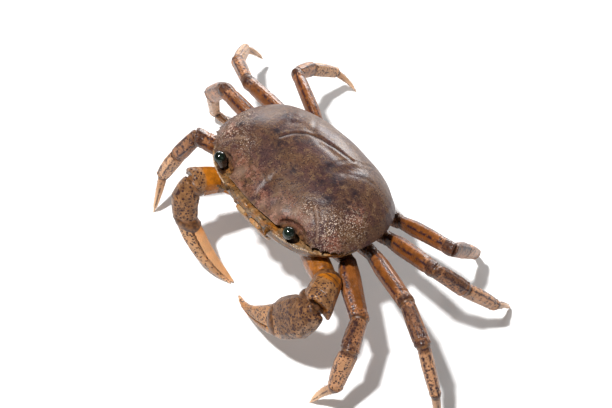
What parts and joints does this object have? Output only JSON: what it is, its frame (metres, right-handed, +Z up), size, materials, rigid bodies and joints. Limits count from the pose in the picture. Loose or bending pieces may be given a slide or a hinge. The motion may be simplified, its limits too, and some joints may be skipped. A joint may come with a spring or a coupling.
{
  "type": "ricefield crab",
  "caption": "Life-size still model of a ricefield crab standing on its walking legs, one claw resting on the floor and one leg lifted.",
  "frame": {"origin": "bottom centre of the bounding box, on the floor under the crab", "axes": "+Z up, -Y the way the crab faces, +X to the crab's left"},
  "size_m": [0.1132, 0.0706, 0.0365],
  "materials": {
    "shell": "satin mottled brown",
    "underside": "satin ochre brown",
    "mouthparts": "satin ochre",
    "eyes": "glossy dark green",
    "feelers": "satin brown",
    "claws": "satin orange with dark speckles",
    "legs": "satin orange brown with dark speckles"
  },
  "bodies": {
    "root": {"abdomen": "underside", "antenna_left": "feelers", "antenna_right": "feelers", "carapace": "shell", "carpus_claw_left": "claws", "carpus_claw_right": "claws", "carpus_left_1": "legs", "carpus_left_2": "legs", "carpus_left_3": "legs", "carpus_left_4": "legs", "carpus_right_1": "legs", "carpus_right_2": "legs", "carpus_right_3": "legs", "carpus_right_4": "legs", "coxa_claw_left": "claws", "coxa_claw_right": "claws", "coxa_left_1": "legs", "coxa_left_2": "legs", "coxa_left_3": "legs", "coxa_left_4": "legs", "coxa_right_1": "legs", "coxa_right_2": "legs", "coxa_right_3": "legs", "coxa_right_4": "legs", "dactyl_claw_left": "claws", "dactyl_claw_right": "claws", "dactyl_left_1": "legs", "dactyl_left_2": "legs", "dactyl_left_3": "legs", "dactyl_left_4": "legs", "dactyl_right_1": "legs", "dactyl_right_2": "legs", "dactyl_right_3": "legs", "dactyl_right_4": "legs", "eye_left": "eyes", "eye_right": "eyes", "maxilliped_left": "mouthparts", "maxilliped_right": "mouthparts", "merus_claw_left": "claws", "merus_claw_right": "claws", "merus_left_1": "legs", "merus_left_2": "legs", "merus_left_3": "legs", "merus_left_4": "legs", "merus_right_1": "legs", "merus_right_2": "legs", "merus_right_3": "legs", "merus_right_4": "legs", "palm_claw_left": "claws", "palm_claw_right": "claws", "propodus_left_1": "legs", "propodus_left_2": "legs", "propodus_left_3": "legs", "propodus_left_4": "legs", "propodus_right_1": "legs", "propodus_right_2": "legs", "propodus_right_3": "legs", "propodus_right_4": "legs", "thorax": "underside"}
  },
  "joints": []
}
